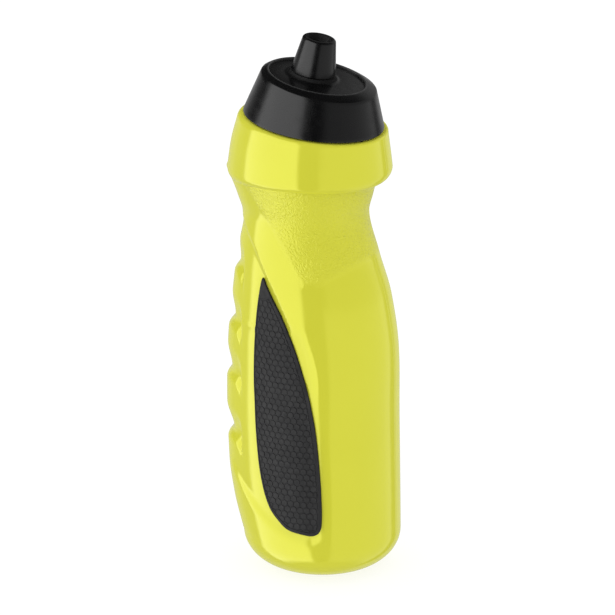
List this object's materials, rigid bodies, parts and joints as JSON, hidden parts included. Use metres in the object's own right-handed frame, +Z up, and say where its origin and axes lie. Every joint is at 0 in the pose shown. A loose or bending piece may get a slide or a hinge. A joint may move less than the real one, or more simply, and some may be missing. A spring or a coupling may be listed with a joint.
{
  "type": "sports squeeze bottle",
  "caption": "Soft squeeze bottle with a narrow waist, finger hollows down its back, rubber grip panels, a leaning screw cap and a push-pull spout.",
  "frame": {"origin": "centre of the flat base that the bottle stands on", "axes": "+Z up towards the spout; +X towards the side that the cap leans to; -X is the back with the finger hollows; the grip panels face +Y and -Y"},
  "size_m": [0.082, 0.0756, 0.2532],
  "materials": {
    "body_plastic": "smooth glossy polyethylene, finely grained at the waist",
    "grip_rubber": "matte rubber with a moulded hexagon relief",
    "cap_plastic": "polished black polypropylene",
    "seal_rubber": "satin silicone"
  },
  "bodies": {
    "bottle": {"bottle_body": "body_plastic", "grip_left": "grip_rubber", "grip_right": "grip_rubber"},
    "gasket": {"neck_gasket": "seal_rubber"},
    "cap": {"cap_shell": "cap_plastic", "cap_insert": "cap_plastic", "spout_ring": "seal_rubber"},
    "spout": {"spout": "cap_plastic"}
  },
  "joints": [
    {"name": "cap_lift", "type": "slide", "parent": "bottle", "child": "gasket", "axis": [0.1392, 0, 0.9903], "range_m": [0, 0.02]},
    {"name": "cap_screw", "type": "hinge", "parent": "gasket", "child": "cap", "pos_m": [-0.0044, 0, 0.2135], "axis": [0.1392, 0, 0.9903], "range_deg": [0, 720]},
    {"name": "spout_pull", "type": "slide", "parent": "cap", "child": "spout", "axis": [0.1822, 0, 0.9833], "range_m": [0, 0.0055]}
  ],
  "couplings": [
    {"joint": "cap_lift", "follows": "cap_screw", "m_per_rad": 0.0015915}
  ]
}
